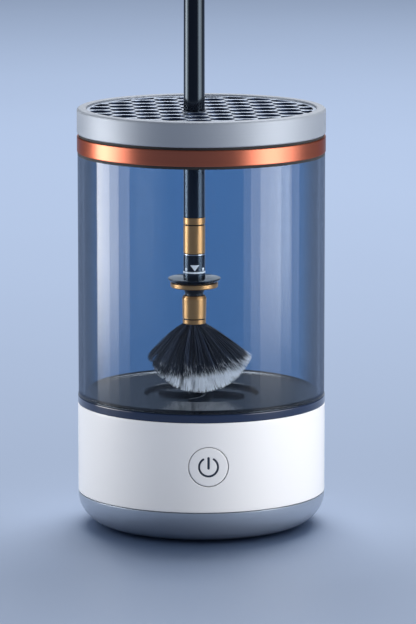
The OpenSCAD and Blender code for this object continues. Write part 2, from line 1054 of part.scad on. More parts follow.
module ferrule() {
    top_r = 5.65;
    low_r = 5.35;
    groove_z = ferrule_z + 2;
    color("goldenrod")
        at_brush()
            rotate_extrude()
                polygon([
                    [4.6, ferrule_z], [low_r - 0.15, ferrule_z], [low_r, ferrule_z + 0.3],
                    [low_r + 0.03, groove_z], [low_r - 0.5, groove_z],
                    [low_r - 0.5, groove_z + 0.5], [low_r + 0.07, groove_z + 0.5],
                    [top_r, 110.4], [top_r - 0.15, 111.3], [top_r - 0.55, 112.1],
                    [neck_r + 0.45, ferrule_top], [neck_r, ferrule_top],
                    [neck_r, 106.4], [4.6, 106.4]
                ]);
}

module bristle_plug() {
    color("dimgray")
        at_brush() {
            ring(4.6, 0, 103.2, 106.4);
            ring(2.75, 0, 106.3, 112);
        }
}

module bristles() {
    color("darkslategray")
        at_brush()
            rotate_extrude()
                intersection() {
                    polygon([
                        [0, 103.2], [4.6, 103.2], [4.6, ferrule_z], [5.6, 98.6],
                        [fan_r, fan_edge_z], [fan_r, tip_z - e], [0, tip_z - e]
                    ]);
                    union() {
                        translate([0, tip_z + tip_sphere_r])
                            circle(r = tip_sphere_r);
                        translate([0, tip_z + tip_sphere_r])
                            square([fan_r, 12]);
                    }
                }
}

// ---------- assembly ----------

translate([0, 0, -table_z]) {
    base_pan();
    foot_pads();
    base_housing();
    base_deck();
    base_screws();
    circuit_board();
    board_components();
    board_screws();
    tact_switch();
    button_spring();
    battery_cell();
    battery_cradle();
    battery_leads();
    motor_leads();
    charge_port();
    charge_tongue();
    charge_board();
    motor_can();
    motor_endcap();
    motor_magnets();
    motor_bearings();
    motor_terminals();
    motor_bracket();
    bracket_screws();
    motor_screws();
    motor_shaft();
    motor_armature();
    drive_rotor();
    drive_magnets();
    power_button();
    power_symbol();
    tank_glass();
    tank_floor();
    tank_foot_ring();
    pulsator_pin();
    pin_cap();
    band_gasket();
    copper_band();
    pulsator();
    pulsator_bush();
    pulsator_magnets();
    lid_rim();
    lid_grid();
    lid_seal();
    lid_oring();
    handle_rod();
    handle_collar();
    swivel_pin();
    thrust_washer();
    mark_sleeve();
    level_mark();
    splash_disc();
    disc_ring();
    head_core();
    swivel_bush();
    ferrule();
    bristle_plug();
    bristles();
}
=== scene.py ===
"""Looks of a make-up brush cleaner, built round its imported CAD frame.

Everything is in metres in the CAD frame: +Z up, the button towards -Y, the floor at z = 0.
Turned parts are lathed from rounded sections, the housing and the button are meshed round their
openings, the lid grid and the marks are filled outlines, and the brush is made of single fibres.
"""

import json
import math
import random

import bmesh
import bpy
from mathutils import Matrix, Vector, geometry


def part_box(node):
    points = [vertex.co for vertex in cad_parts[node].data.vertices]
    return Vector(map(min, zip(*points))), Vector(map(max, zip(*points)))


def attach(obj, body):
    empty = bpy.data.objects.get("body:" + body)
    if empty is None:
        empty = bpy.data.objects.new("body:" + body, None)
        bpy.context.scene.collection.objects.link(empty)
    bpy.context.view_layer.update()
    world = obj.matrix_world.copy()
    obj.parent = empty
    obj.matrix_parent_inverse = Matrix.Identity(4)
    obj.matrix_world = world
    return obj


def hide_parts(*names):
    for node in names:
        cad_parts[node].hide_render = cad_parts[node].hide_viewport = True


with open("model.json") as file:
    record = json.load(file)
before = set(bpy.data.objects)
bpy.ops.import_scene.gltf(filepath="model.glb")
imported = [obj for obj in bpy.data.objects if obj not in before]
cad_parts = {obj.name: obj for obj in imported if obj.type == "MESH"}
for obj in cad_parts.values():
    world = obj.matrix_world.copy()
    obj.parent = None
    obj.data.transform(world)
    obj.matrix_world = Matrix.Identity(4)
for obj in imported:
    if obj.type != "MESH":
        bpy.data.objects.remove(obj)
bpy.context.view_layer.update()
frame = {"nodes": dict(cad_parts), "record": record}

MM = 0.001
TAU = 2 * math.pi
SMOOTH_ANGLE = math.radians(32)
WELD = 0.0008 * MM
LARGE, SMALL = 256, 96               # segments round large and small turned parts


# ---------- places from the frame, in mm ----------

# All heights are over a datum below the table, over which the housing starts at 20.15 mm.
DATUM = 20.15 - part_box("base_housing")[0].z / MM


def heights(node):
    low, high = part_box(node)
    return low.z / MM + DATUM, high.z / MM + DATUM


def placed(points):
    """Points in metres in the frame, from points in mm over the datum."""
    return [(Vector(p) - Vector((0, 0, DATUM))) * MM for p in points]


def radius(node):
    low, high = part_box(node)
    return (high.x - low.x) / 2 / MM


def centre(node):
    low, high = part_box(node)
    return (low.x + high.x) / 2 / MM, (low.y + high.y) / 2 / MM


BODY_R = radius("base_housing")
WALL = 2.4
BRUSH = centre("ferrule")


# ---------- materials ----------

class Nodes:
    """The nodes of a material or a lamp. What goes into a socket is a number, an RGB colour or
    the output of another node."""

    def __init__(self, owner):
        owner.use_nodes = True
        self.owner = owner
        self.nodes, self.links = owner.node_tree.nodes, owner.node_tree.links

    def put(self, node, inputs):
        for key, value in inputs.items():
            socket = node.inputs[key]
            if isinstance(value, bpy.types.NodeSocket):
                self.links.new(value, socket)
            elif socket.type == "RGBA":
                socket.default_value = (*value, 1.0)
            else:
                socket.default_value = value

    def add(self, kind, output, inputs=None, **settings):
        """Makes a node and returns one of its outputs."""
        node = self.nodes.new("ShaderNode" + kind)
        for key, value in settings.items():
            setattr(node, key, value)
        self.put(node, inputs or {})
        return node.outputs[output]

    def noise(self, scale, detail, roughness=0.55):
        """Noise in object space; scale is its frequency in 1/m, along all axes or each of them."""
        scale = scale if isinstance(scale, tuple) else (scale, scale, scale)
        place = self.add("Mapping", "Vector",
                         {"Vector": self.add("TexCoord", "Object"), "Scale": scale})
        return self.add("TexNoise", "Fac", {"Vector": place, "Scale": 1.0, "Detail": detail,
                                            "Roughness": roughness})

    def ramp(self, value, low, high, to_low=0.0, to_high=1.0, curve="LINEAR"):
        """value, from low to high, mapped to to_low to to_high, and held beyond them."""
        return self.add("MapRange", "Result", {
            "Value": value, "From Min": low, "From Max": high, "To Min": to_low, "To Max": to_high,
        }, interpolation_type=curve)

    def spread(self, noise, low, high):
        """Noise, which mostly lies between 0.2 and 0.8, mapped to low to high."""
        return self.ramp(noise, 0.2, 0.8, low, high)

    def mix(self, share, a, b):
        """Colour a, going over to b as share grows from 0 to 1."""
        return self.add("Mix", "Result", {"Factor": share, "A": a, "B": b}, data_type="RGBA")

    def drift(self, noise, colour, amount):
        """A colour that drifts round its mean by a share."""
        return self.mix(self.spread(noise, 0, 1), shade(colour, 1 - amount),
                        shade(colour, 1 + amount))

    def bump(self, noise, strength, depth):
        return self.add("Bump", "Normal", {"Height": noise, "Strength": strength,
                                           "Distance": depth})


class Look(Nodes):
    """A new material with a Principled shader."""

    def __init__(self, name):
        super().__init__(bpy.data.materials.new(name))
        self.bsdf = self.nodes["Principled BSDF"]

    def made(self, inputs):
        """Fills in the shader's inputs and returns the material."""
        self.put(self.bsdf, inputs)
        return self.owner


def shade(colour, factor):
    return tuple(min(1.0, c * factor) for c in colour)


def plastic(name, colour, rough, grain=2200.0, depth=0.00002, coat=0.0, drift=0.02, spec=0.5,
            glint=(1, 1, 1), sheen=0.0):
    """Moulded plastic: fine surface grain, slow drift of colour and gloss."""
    look = Look(name)
    slow = look.noise(18, 1)
    return look.made({
        "Base Color": look.drift(slow, colour, drift),
        "Roughness": look.spread(slow, rough * 0.95, rough * 1.05),
        "Specular IOR Level": spec,
        "Specular Tint": glint,
        "Coat Weight": coat,
        "Coat Roughness": 0.06,
        "Sheen Weight": sheen,
        "Normal": look.bump(look.noise(grain, 2), 0.35, depth),
    })


def brushed(name, colour, rough, lines=(9, 9, 5200), depth=0.000008, drift=0.1, streak=0.35,
            anisotropy=0.6, metallic=1.0, coat=0.0, rim=(1, 1, 1)):
    """Metal brushed round the Z axis: fine lines in height, gloss that varies with them. rim is
    its tint near grazing."""
    look = Look(name)
    line = look.noise(lines, 4, 0.65)
    slow = look.noise(35, 3)
    return look.made({
        "Base Color": look.drift(line, colour, drift),
        "Roughness": look.spread(line, rough * (1 - streak), rough * (1 + streak)),
        "Metallic": look.spread(slow, metallic * 0.97, metallic),
        "Anisotropic": anisotropy,
        "Anisotropic Rotation": 0.25,
        "Coat Weight": coat,
        "Coat Roughness": 0.2,
        "Specular Tint": rim,
        "Tangent": look.add("Tangent", "Tangent", direction_type="RADIAL", axis="Z"),
        "Normal": look.bump(line, 0.5, depth),
    })


def painted_groove_shade(mat, middle, r, colour):
    """Paints shade into the base colour within r of a vertical axis: painted shade in the bottoms
    of turned grooves.
    """
    look = Nodes(mat)
    shader = look.nodes["Principled BSDF"]
    unshaded = shader.inputs["Base Color"].links[0].from_socket
    offset = look.add("VectorMath", "Vector", {0: look.add("TexCoord", "Object"),
                                               1: (middle[0] * MM, middle[1] * MM, 0)},
                      operation="SUBTRACT")
    flat = look.add("VectorMath", "Vector", {0: offset, 1: (1, 1, 0)}, operation="MULTIPLY")
    reach = look.add("VectorMath", "Value", {0: flat}, operation="LENGTH")
    outside = look.ramp(reach, (r - 0.08) * MM, r * MM)
    # painted shade: within r the base colour goes over to the dark colour; outside it keeps the
    # unshaded colour
    look.put(shader, {"Base Color": look.mix(outside, colour, unshaded)})
    return mat


def metal(name, colour, rough, grain=900.0, drift=0.05):
    """Plain turned or stamped metal with a faint grain."""
    look = Look(name)
    fine = look.noise(grain, 3)
    return look.made({
        "Base Color": look.drift(fine, colour, drift),
        "Roughness": look.spread(fine, rough * 0.75, rough * 1.3),
        "Metallic": 1.0,
        "Normal": look.bump(fine, 0.3, 0.000006),
    })


def plate(name, face, painted_wall_shade, rough):
    """Stamped plate with painted shade: bright where its surface lies flat, painted dark down the
    walls of its holes where shade falls.
    """
    look = Look(name)
    fine = look.noise(90, 2)
    upward = look.add("SeparateXYZ", "Z", {"Vector": look.add("TexCoord", "Normal")})
    return look.made({
        # painted shade: where the surface normal turns from upright to sideways, down the hole
        # walls, the colour goes dark
        "Base Color": look.mix(look.ramp(upward, 0.35, 0.9), painted_wall_shade, look.drift(fine, face, 0.03)),
        "Roughness": look.spread(fine, rough * 0.95, rough * 1.05),
        "Metallic": 0.85,
    })


def clear_tank(name, tint, far_tint, lamp_tint):
    """Smoky clear plastic. Its far wall is darker, as it is through a full tank, and its sides,
    where the eye looks along the wall, are smoky. Light on its way to and from what is inside
    goes straight through."""
    look = Look(name)
    slow = look.noise((14, 14, 7), 2)
    path = look.nodes.new("ShaderNodeLightPath").outputs
    slant = look.add("LayerWeight", "Facing", {"Blend": 0.5})
    beyond = look.ramp(path["Transmission Depth"], 1.0, 2.0)
    face_on = look.mix(beyond, look.drift(slow, tint, 0.012), far_tint)
    grey = (0.2, 0.2, 0.2)
    look.made({
        "Base Color": look.mix(look.ramp(slant, 0.4, 0.8), face_on, shade(tint, 0.3)),
        "Specular Tint": look.mix(beyond, look.ramp(slant, 0.008, 0.07, 0.2, 1.0), grey),
        "Roughness": look.spread(slow, 0.0, 0.006),
        "IOR": 1.49,
        "Transmission Weight": 1.0,
    })

    def either(share, otherwise, then):
        return look.add("MixShader", "Shader", {"Fac": share, 1: otherwise, 2: then})

    smoke = look.add("BsdfDiffuse", "BSDF", {"Color": (0.012, 0.025, 0.06)})
    glass = either(look.ramp(slant, 0.44, 0.74, 0.0, 0.62), look.bsdf.outputs["BSDF"], smoke)
    clear = look.add("BsdfTransparent", "BSDF", {"Color": lamp_tint})
    from_wall = either(path["Transparent Depth"], glass, clear)
    from_inside = either(look.add("NewGeometry", "Backfacing"), clear, from_wall)
    surface = either(path["Is Glossy Ray"], glass,
                     either(path["Is Transmission Ray"], from_inside, glass))
    surface = either(path["Is Diffuse Ray"], surface, clear)
    surface = either(path["Is Shadow Ray"], surface, clear)
    look.put(look.nodes["Material Output"], {"Surface": surface})
    return look.owner


def fibre(name, dark, light, tip):
    """Brush fibre: blue-black with lighter strands, turning white where its share along, which
    its mesh carries, nears 1."""
    look = Look(name)
    tone, along = (look.add("Attribute", "Fac", attribute_name=key) for key in ("tone", "along"))
    start = look.add("Math", "Value", {0: tone, 1: 0.08, 2: along}, operation="MULTIPLY_ADD")
    white = look.ramp(start, 0.88, 0.95, curve="SMOOTHSTEP")
    return look.made({
        "Base Color": look.mix(white, look.mix(tone, dark, light), tip),
        "Roughness": 0.42,
        "Specular IOR Level": 0.35,
    })


MATERIALS = {
    "white_plastic": plastic("white_plastic", (0.82, 0.815, 0.82), 0.3, coat=0.2, drift=0.004),
    "grey_plastic": brushed("grey_plastic", (0.4, 0.45, 0.525), 0.31, lines=(9, 9, 900), drift=0.03,
                            streak=0.1, anisotropy=0.0, metallic=0.65),
    "navy_plastic": plastic("navy_plastic", (0.01, 0.02, 0.055), 0.16, coat=0.4, drift=0.05),
    "black_plastic": plastic("black_plastic", (0.012, 0.013, 0.016), 0.35, drift=0.1),
    "black_gloss": plastic("black_gloss", (0.004, 0.005, 0.008), 0.07, drift=0.1, spec=0.6,
                           depth=0.000004, glint=(0.62, 0.8, 1.0)),
    "black_rubber": plastic("black_rubber", (0.012, 0.012, 0.013), 0.72, grain=3500.0,
                            depth=0.00005, drift=0.12, spec=0.35, sheen=0.15),
    "tank_plastic": plastic("tank_plastic", (0.01, 0.013, 0.022), 0.2, coat=0.3, drift=0.1),
    "clear_tank": clear_tank("clear_tank", (0.69, 0.77, 0.86), (0.157, 0.305, 0.49),
                             (0.92, 0.94, 0.965)),
    "copper": brushed("copper", (0.54, 0.155, 0.09), 0.36, lines=(7, 7, 3800), streak=0.15,
                      drift=0.06, metallic=0.95, coat=0.25, rim=(0.35, 0.2, 0.15)),
    "lid_grey": brushed("lid_grey", (0.32, 0.35, 0.4), 0.56, lines=(12, 12, 2600), drift=0.05,
                        streak=0.12, anisotropy=0.2, metallic=0.47),
    # the lid plate's second colour is painted shade down the walls of its holes
    "lid_plate": plate("lid_plate", (0.37, 0.43, 0.53), (0.045, 0.065, 0.12), 0.34),
    # the gold gets painted shade in the bottoms of its turned grooves, within 4.98 mm of the
    # brush's axis
    "gold": painted_groove_shade(
        brushed("gold", (0.6, 0.32, 0.125), 0.36, lines=(30, 30, 4200), drift=0.03, streak=0.1,
                depth=0.000001, metallic=0.8),
        BRUSH, 4.98, (0.02, 0.012, 0.008)),
    "steel": metal("steel", (0.62, 0.62, 0.64), 0.22),
    "bronze": metal("bronze", (0.48, 0.3, 0.13), 0.35),
    "magnet": metal("magnet", (0.7, 0.7, 0.72), 0.12),
    "ferrite": plastic("ferrite", (0.03, 0.03, 0.032), 0.6, drift=0.2),
    "winding": metal("winding", (0.45, 0.17, 0.06), 0.3, grain=1600.0, drift=0.3),
    "board_green": plastic("board_green", (0.01, 0.09, 0.03), 0.3, drift=0.15),
    "battery_wrap": plastic("battery_wrap", (0.02, 0.08, 0.35), 0.25, drift=0.05),
    "wire_red": plastic("wire_red", (0.4, 0.01, 0.01), 0.4, drift=0.06),
    "wire_yellow": plastic("wire_yellow", (0.55, 0.28, 0.01), 0.4, drift=0.06),
    "inner_plastic": plastic("inner_plastic", (0.1, 0.1, 0.11), 0.45, drift=0.05),
    "bush_plastic": plastic("bush_plastic", (0.7, 0.67, 0.58), 0.4, drift=0.04),
    "white_mark": plastic("white_mark", (0.85, 0.85, 0.85), 0.4, drift=0.02),
    "dark_mark": plastic("dark_mark", (0.018, 0.026, 0.045), 0.3, drift=0.1),
    "bristle": fibre("bristle", (0.002, 0.0025, 0.005), (0.08, 0.095, 0.14), (0.94, 0.95, 0.98)),
}

SLOT_OF = {part["node"]: part["material_slot"] for part in frame["record"]["subparts"]}
BODY_OF = {
    node: body
    for body, members in frame["record"]["behaviour"]["bodies"].items()
    for node in members
}
for node_name, node_object in frame["nodes"].items():
    node_object.data.materials.clear()
    node_object.data.materials.append(MATERIALS[SLOT_OF[node_name]])


# ---------- mesh building, in mm ----------

def add_object(name, mesh):
    obj = bpy.data.objects.new(name, mesh)
    bpy.context.scene.collection.objects.link(obj)
    return obj


def stand_in(node, mesh):
    """An object in place of a CAD node, with its body, slot and material."""
    mesh.materials.append(MATERIALS[SLOT_OF[node]])
    obj = add_object(mesh.name, mesh)
    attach(obj, BODY_OF[node])
    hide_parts(node)
    return obj


def solid(name, points, faces, weld=0):
    """A mesh with all faces turned outwards, its points welded where they meet within weld."""
    mesh = bpy.data.meshes.new(name)
    mesh.from_pydata(placed(points), [], faces)
    work = bmesh.new()
    work.from_mesh(mesh)
    if weld:
        bmesh.ops.remove_doubles(work, verts=work.verts, dist=weld)
    bmesh.ops.recalc_face_normals(work, faces=work.faces)
    work.to_mesh(mesh)
    work.free()
    return mesh


def smooth(mesh):
    mesh.shade_smooth()
    mesh.set_sharp_from_angle(angle=SMOOTH_ANGLE)
    return mesh


def piece(node, points, faces):
    """A mesh piece that stands for a CAD node."""
    return stand_in(node, smooth(solid(node + "_v", points, faces, WELD)))


def arc(a, b, here, fillet, steps):
    """Points that round the corner here between its neighbours a and b, with one support point
    on each straight side, so that smooth shading stays on the arc. A fillet takes up to 48% of
    the shorter side."""
    u, v = a - here, b - here
    room = min(u.length, v.length) * 0.48
    half = u.angle(v) / 2
    reach = min(fillet / math.tan(half), room)
    r = reach * math.tan(half)
    middle = here + (u.normalized() + v.normalized()).normalized() * (r / math.sin(half))
    start = here + u.normalized() * reach - middle
    turn = -start.angle_signed(here + v.normalized() * reach - middle)
    points = []
    for k in range(steps + 1):
        s, c = math.sin(turn * k / steps), math.cos(turn * k / steps)
        points.append(middle + Vector((start.x * c - start.y * s, start.x * s + start.y * c)))
    before, after = (
        here + side.normalized() * (reach + min(0.15, reach / 4, 0.8 * (side.length / 2 - reach)))
        for side in (u, v)
    )
    return [before, *points, after]


def rounded(corners, steps=5):
    """Closed section from (r, z) or (r, z, fillet) corners."""
    flat = [Vector(c[:2]) for c in corners]
    points = []
    for i, corner in enumerate(corners):
        if len(corner) < 3 or corner[2] <= 0:
            points.append(flat[i])
        else:
            nxt = flat[(i + 1) % len(flat)]
            points.extend(arc(flat[i - 1], nxt, flat[i], corner[2], steps))
    return points


def revolve(section, middle=(0, 0), segments=LARGE, closed=True):
    """Points and faces of an (r, z) section turned round a vertical axis."""
    points, faces, rings = [], [], []
    for r, z in section:
        count = segments if r > 1e-6 else 1
        rings.append([len(points) + k % count for k in range(segments)])
        for k in range(count):
            a = TAU * k / segments
            points.append((middle[0] + r * math.cos(a), middle[1] + r * math.sin(a), z))
    for i in range(len(rings) if closed else len(rings) - 1):
        low, high = rings[i], rings[(i + 1) % len(rings)]
        for k in range(segments):
            m = (k + 1) % segments
            corners = list(dict.fromkeys([low[k], low[m], high[m], high[k]]))
            if len(corners) > 2:
                faces.append(corners)
    return points, faces


def lathe(node, corners, middle=(0, 0), segments=LARGE, steps=5):
    """A turned piece for a CAD node from its (r, z, fillet) corners."""
    return piece(node, *revolve(rounded(corners, steps), middle, segments))


def join(*parts):
    """Several (points, faces) as one."""
    points, faces = [], []
    for more, more_faces in parts:
        faces += [[v + len(points) for v in face] for face in more_faces]
        points += more
    return points, faces


def bridge(loops):
    """Faces between loops of equal length, each closed round."""
    points = [p for loop in loops for p in loop]
    count = len(loops[0])
    faces = []
    for i in range(len(loops) - 1):
        for k in range(count):
            m = (k + 1) % count
            faces.append([i * count + k, i * count + m, (i + 1) * count + m, (i + 1) * count + k])
    return points, faces


def inside(point, loop):
    """Whether a 2-D point lies in a closed loop of 2-D points."""
    x, y = point
    found = False
    for (x0, y0), (x1, y1) in zip(loop, loop[1:] + loop[:1]):
        if (y0 > y) != (y1 > y) and x < x0 + (y - y0) * (x1 - x0) / (y1 - y0):
            found = not found
    return found


HOLE_REACH = 12.0                    # no hole reaches further than this from its middle


def fill(outline, holes=(), extra=()):
    """Triangles that fill an outline less its holes, using extra points inside it."""
    flat, edges = [], []
    for loop in (outline, *holes):
        first = len(flat)
        flat += [Vector(p) for p in loop]
        edges += [(first + k, first + (k + 1) % len(loop)) for k in range(len(loop))]
    flat += [Vector(p) for p in extra]
    points, _, faces, *_ = geometry.delaunay_2d_cdt(flat, edges, [], 0, 1e-6)
    reach = [(Vector(hole[0]) + Vector(hole[len(hole) // 2])) / 2 for hole in holes]
    kept = []
    for face in faces:
        middle = sum((points[v] for v in face), Vector((0, 0))) / len(face)
        near = [hole for hole, at in zip(holes, reach) if (at - middle).length < HOLE_REACH]
        if inside(middle, outline) and not any(inside(middle, hole) for hole in near):
            kept.append(list(face))
    return [tuple(p) for p in points], kept


# ---------- base ----------

SPIGOT_R = BODY_R - WALL - 0.15      # of the pan and the deck, inside the housing
BORE_D = 18.5
BUTTON_STEPS = 96
HOUSING_COLUMNS, HOUSING_ROWS = 320, 36


def make_pan():
    """The pan, with its screw wells and the recesses of its feet cut by Boolean."""
    z0, _ = heights("base_pan")
    seam_top, _ = heights("base_housing")
    top = seam_top - 0.3
    corner = 14.5
    spigot, spigot_top = SPIGOT_R, seam_top + 2.4
    turn = [math.pi / 2 * k / 32 for k in range(33)]
    pan = lathe("base_pan", [
        (0, z0),
        *((BODY_R - corner * (1 - math.sin(a)), z0 + corner * (1 - math.cos(a))) for a in turn),
        (BODY_R, top, 0.2), (spigot, top),
        (spigot, spigot_top, 0.3), (spigot - 1.9, spigot_top, 0.3),
        (spigot - 1.9, z0 + 8, 6), (0, z0 + 3.4),
    ], steps=24)
    screw_well, foot_recess = (45, 36, 3.2, 3, 48), (0, 31, 5.6, 0.8, 64)
    holes = []
    for k in range(4):
        for start, away, r, depth, segments in (screw_well, foot_recess):
            a = math.radians(start + 90 * k)
            section = [(0, -1), (r, -1), (r, z0 + depth), (0, z0 + depth)]
            holes.append(revolve(section, (away * math.cos(a), away * math.sin(a)), segments))
    cut(pan, join(*holes))


def cut(obj, cutter):
    """Takes closed cutter solids, given as points and faces, out of a piece."""
    mesh = solid("cutter", *cutter)
    tool = add_object("cutter", mesh)
    modifier = obj.modifiers.new("cut", "BOOLEAN")
    modifier.operation = "DIFFERENCE"
    modifier.solver = "EXACT"
    modifier.object = tool
    depsgraph = bpy.context.evaluated_depsgraph_get()
    result = bpy.data.meshes.new_from_object(obj.evaluated_get(depsgraph))
    obj.modifiers.remove(modifier)
    obj.data = smooth(result)
    bpy.data.objects.remove(tool)
    bpy.data.meshes.remove(mesh)


def on_wall(x, z, r, side, depth=0.0):
    """A point on the front (side -1) or back (side 1) of a wall of radius r, depth behind it."""
    return (x, side * (math.sqrt(r * r - x * x) - depth), z)


def stadium(width, height, z, t):
    """Point at the share t round a shape with round ends, starting in the middle of its right."""
    r = height / 2
    half = width / 2 - r
    straight, bend = 2 * half, math.pi * r
    along = (t % 1) * 2 * (straight + bend)
    for k, length in enumerate((bend / 2, straight, bend, straight, bend / 2)):
        if along <= length or k == 4:
            break
        along -= length
    if k == 0 or k == 4:
        a = along / r + (0 if k == 0 else -math.pi / 2)
        return half + r * math.cos(a), z + r * math.sin(a)
    if k == 1:
        return half - along, z + r
    if k == 2:
        a = math.pi / 2 + along / r
        return -half + r * math.cos(a), z + r * math.sin(a)
    return -half + along, z - r


class Window:
    """A hole through the housing wall: its outline, and the part of the wall's grid round it."""

    def __init__(self, side, width, height, z, margin, lip, rows):
        self.side, self.width, self.height, self.z, self.lip = side, width, height, z, lip
        self.middle = HOUSING_COLUMNS * (3 if side < 0 else 1) // 4
        self.reach = round((width / 2 + margin) / (TAU * BODY_R / HOUSING_COLUMNS))
        below = [i for i, row in enumerate(rows) if row < z - height / 2 - margin]
        above = [i for i, row in enumerate(rows) if row > z + height / 2 + margin]
        self.low, self.high = below[-1], above[0]

    def covers(self, column, row):
        near = self.middle - self.reach <= column < self.middle + self.reach
        return near and self.low <= row < self.high

    def outline(self, t, grow):
        """Outline point in the order of the border, which turns the other way at the front."""
        x, z = stadium(self.width + 2 * grow, self.height + 2 * grow, self.z, t)
        return (x if self.side < 0 else -x), z

    def border(self, rows):
        """(column, row) pairs round the window, from the middle of its side of higher column."""
        start = min(range(self.low, self.high), key=lambda i: abs(rows[i] - self.z))
        low_c, high_c = self.middle - self.reach, self.middle + self.reach
        path = [(high_c, i) for i in range(start, self.high)]
        path += [(c, self.high) for c in range(high_c, low_c, -1)]
        path += [(low_c, i) for i in range(self.high, self.low, -1)]
        path += [(c, self.low) for c in range(low_c, high_c)]
        path += [(high_c, i) for i in range(self.low, start)]
        return path


def make_housing():
    """Shell with rounded edges, the bore of the button in front and the charging slot behind."""
    z0, z1 = heights("base_housing")
    inner = BODY_R - WALL
    edge = 0.3
    step = (z1 - z0 - 2 * edge) / HOUSING_ROWS
    rows = [z0 + edge + step * i for i in range(HOUSING_ROWS + 1)]
    button_z = sum(heights("power_button")) / 2
    low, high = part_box("charge_port")
    port_w, port_h = (high.x - low.x) / MM, (high.z - low.z) / MM
    port_z = sum(heights("charge_port")) / 2
    windows = [
        Window(-1, BORE_D, BORE_D, button_z, margin=2.6, lip=0.14, rows=rows),
        Window(1, port_w + 0.6, port_h + 0.6, port_z, margin=2.2, lip=0.35, rows=rows),
    ]

    def at(column, z, r):
        a = TAU * column / HOUSING_COLUMNS
        return (r * math.cos(a), r * math.sin(a), z)

    parts = []
    for r, outer in ((BODY_R, True), (inner, False)):
        points = [at(c, z, r) for z in rows for c in range(HOUSING_COLUMNS)]
        faces = []
        for i in range(HOUSING_ROWS):
            for c in range(HOUSING_COLUMNS):
                if not any(w.covers(c, i) for w in windows):
                    m = (c + 1) % HOUSING_COLUMNS
                    faces.append([i * HOUSING_COLUMNS + c, i * HOUSING_COLUMNS + m,
                                  (i + 1) * HOUSING_COLUMNS + m, (i + 1) * HOUSING_COLUMNS + c])
        parts.append((points, faces))
        for w in windows:
            path = w.border(rows)
            grow = w.lip if outer else 0
            hole = [w.outline(k / len(path), grow) for k in range(len(path))]
            loops = []
            for share in (0, 0.12, 0.35, 0.65, 1):
                loop = []
                for (x, z), (c, i) in zip(hole, path):
                    a0 = math.asin(x / r)
                    a1 = (TAU * (c - w.middle) / HOUSING_COLUMNS) * (1 if w.side < 0 else -1)
                    a = a0 + share * (a1 - a0)
                    if share == 1:
                        loop.append(at(c, rows[i], r))
                    else:
                        loop.append((r * math.sin(a), w.side * r * math.cos(a),
                                     z + share * (rows[i] - z)))
                loops.append(loop)
            parts.append(bridge(loops))
    for w in windows:
        count = len(w.border(rows))
        loops = []
        for k in range(6):
            a = math.pi / 2 * k / 5
            grow, depth = w.lip * (1 - math.sin(a)), w.lip * (1 - math.cos(a))
            loops.append([on_wall(*w.outline(j / count, grow), BODY_R, w.side, depth)
                          for j in range(count)])
        loops.append([on_wall(*w.outline(j / count, 0), BODY_R, w.side, w.lip + 0.2)
                      for j in range(count)])
        loops.append([on_wall(*w.outline(j / count, 0), inner, w.side) for j in range(count)])
        parts.append(bridge(loops))
    for z, inwards in ((z0, 1), (z1, -1)):
        section = [(BODY_R - edge + edge * math.cos(a), z + inwards * edge * (1 - math.sin(a)))
                   for a in (math.pi / 2 * k / 4 for k in range(5))]
        section += [(inner, z), (inner, z + inwards * edge)]
        parts.append(revolve(section, segments=HOUSING_COLUMNS, closed=False))
    piece("base_housing", *join(*parts))


def make_deck():
    """The deck, with the recess of the tank's foot ring and the well of its floor."""
    _, z1 = heights("base_deck")
    _, housing_top = heights("base_housing")
    spigot, spigot_z = SPIGOT_R, 55
    recess, recess_z, well, well_z = BODY_R - 2.3, 61.9, 31.0, 56.3
    lathe("base_deck", [
        (0, well_z - 1.6), (well + 2, well_z - 1.6), (well + 2, recess_z - 2, 1),
        (spigot - 2, recess_z - 2, 0.5), (spigot - 2, spigot_z), (spigot, spigot_z),
        (spigot, housing_top), (BODY_R, housing_top, 0.25), (BODY_R, z1, 0.45), (recess, z1, 0.3),
        (recess, recess_z, 0.5), (well, recess_z, 0.6), (well, well_z, 1.5), (0, well_z),
    ])


CAP = 8                              # steps round the end of a stroke


def stroke(line, half):
    """Closed outline of a line of 2-D points drawn with round ends, half its width each side."""
    spots = [Vector(p) for p in line]
    left, right = [], []
    for i, here in enumerate(spots):
        t = (spots[min(i + 1, len(spots) - 1)] - spots[max(i - 1, 0)]).normalized()
        normal = Vector((-t.y, t.x))
        left.append(here + normal * half)
        right.append(here - normal * half)

    def end(here, frm):
        spoke = frm - here
        result = []
        for k in range(1, CAP):
            a = -math.pi * k / CAP
            result.append(here + Vector((spoke.x * math.cos(a) - spoke.y * math.sin(a),
                                         spoke.x * math.sin(a) + spoke.y * math.cos(a))))
        return result

    outline = left + end(spots[-1], left[-1]) + right[::-1] + end(spots[0], right[0])
    return [tuple(p) for p in outline]


def power_strokes(z):
    """Centre lines of the power sign round height z: an open ring and an upright bar."""
    ring_r, gap = 4.285, math.radians(33.2)
    ring = [(ring_r * math.sin(a), z + ring_r * math.cos(a))
            for a in (gap + (TAU - 2 * gap) * k / 60 for k in range(61))]
    bar = [(0, z - 0.6 + 4.7 * k / 8) for k in range(9)]
    return (ring, 0.465), (bar, 0.55)


